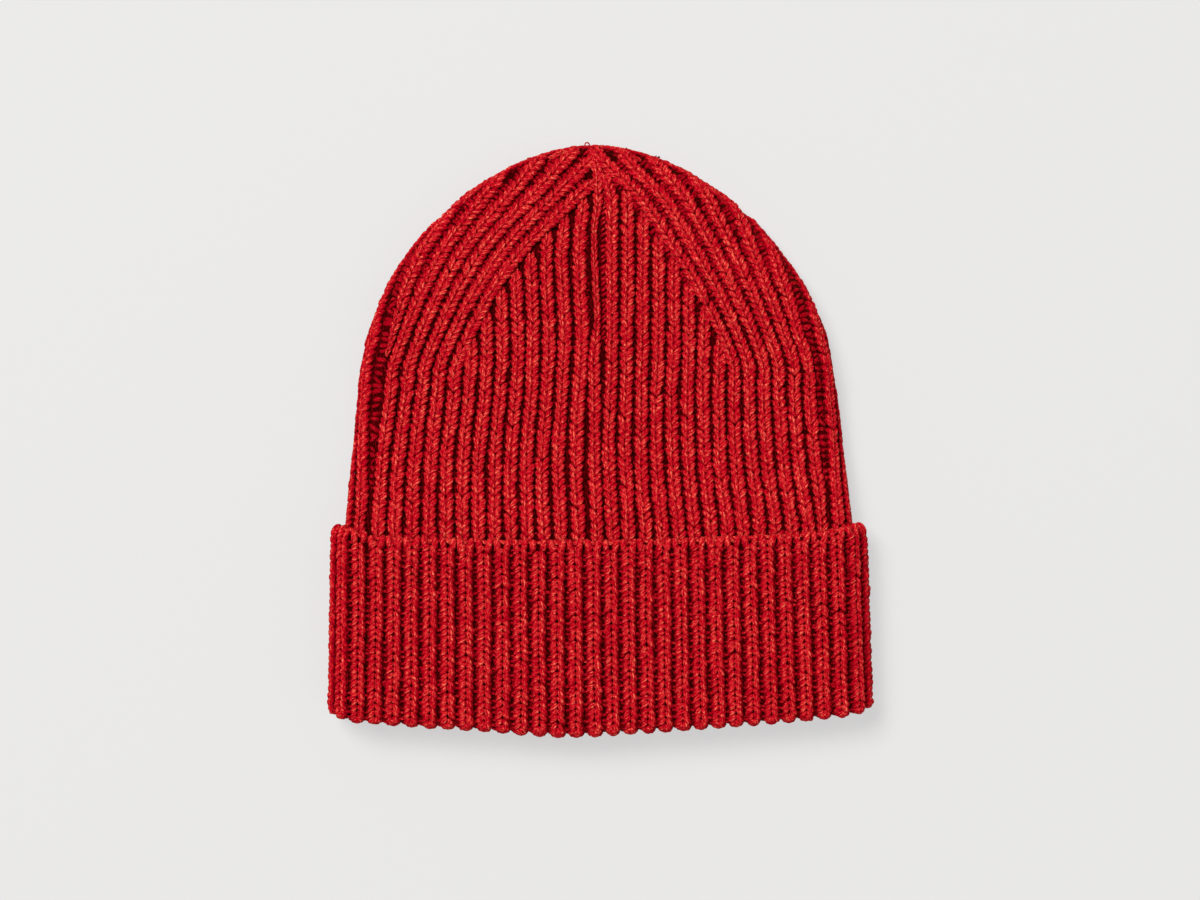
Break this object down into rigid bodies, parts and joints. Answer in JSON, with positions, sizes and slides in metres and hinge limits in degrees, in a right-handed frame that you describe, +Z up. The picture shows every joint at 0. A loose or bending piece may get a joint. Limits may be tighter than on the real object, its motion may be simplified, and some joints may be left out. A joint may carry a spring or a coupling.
{
  "type": "cuffed knit beanie",
  "caption": "Ribbed knit beanie lying flat, with a turned-up cuff that unfolds, a gathered crown and a sewn back seam.",
  "frame": {"origin": "middle of the footprint, on the surface that the hat lies on", "axes": "+X across the hat, +Y from the folded mouth to the crown, +Z up, with the seam side on top"},
  "size_m": [0.21, 0.2265, 0.024],
  "materials": {
    "red_wool_knit": "heathered wool rib",
    "red_seam_yarn": "wool yarn"
  },
  "bodies": {
    "hat": {"knit_body": "red_wool_knit", "body_seam": "red_seam_yarn", "crown_gather": "red_seam_yarn"},
    "cuff_back_half": {"cuff_back": "red_wool_knit", "cuff_seam": "red_seam_yarn", "cast_on_edge_back": "red_wool_knit"},
    "cuff_front_half": {"cuff_front": "red_wool_knit", "cast_on_edge_front": "red_wool_knit"}
  },
  "joints": [
    {"name": "cuff_back_fold", "type": "hinge", "parent": "hat", "child": "cuff_back_half", "pos_m": [0, -0.1089, 0.01965], "axis": [1, 0, 0], "range_deg": [0, 178]},
    {"name": "cuff_front_fold", "type": "hinge", "parent": "hat", "child": "cuff_front_half", "pos_m": [0, -0.1089, 0.00435], "axis": [-1, 0, 0], "range_deg": [0, 178]}
  ],
  "couplings": [
    {"joint": "cuff_front_fold", "follows": "cuff_back_fold", "ratio": 1}
  ]
}
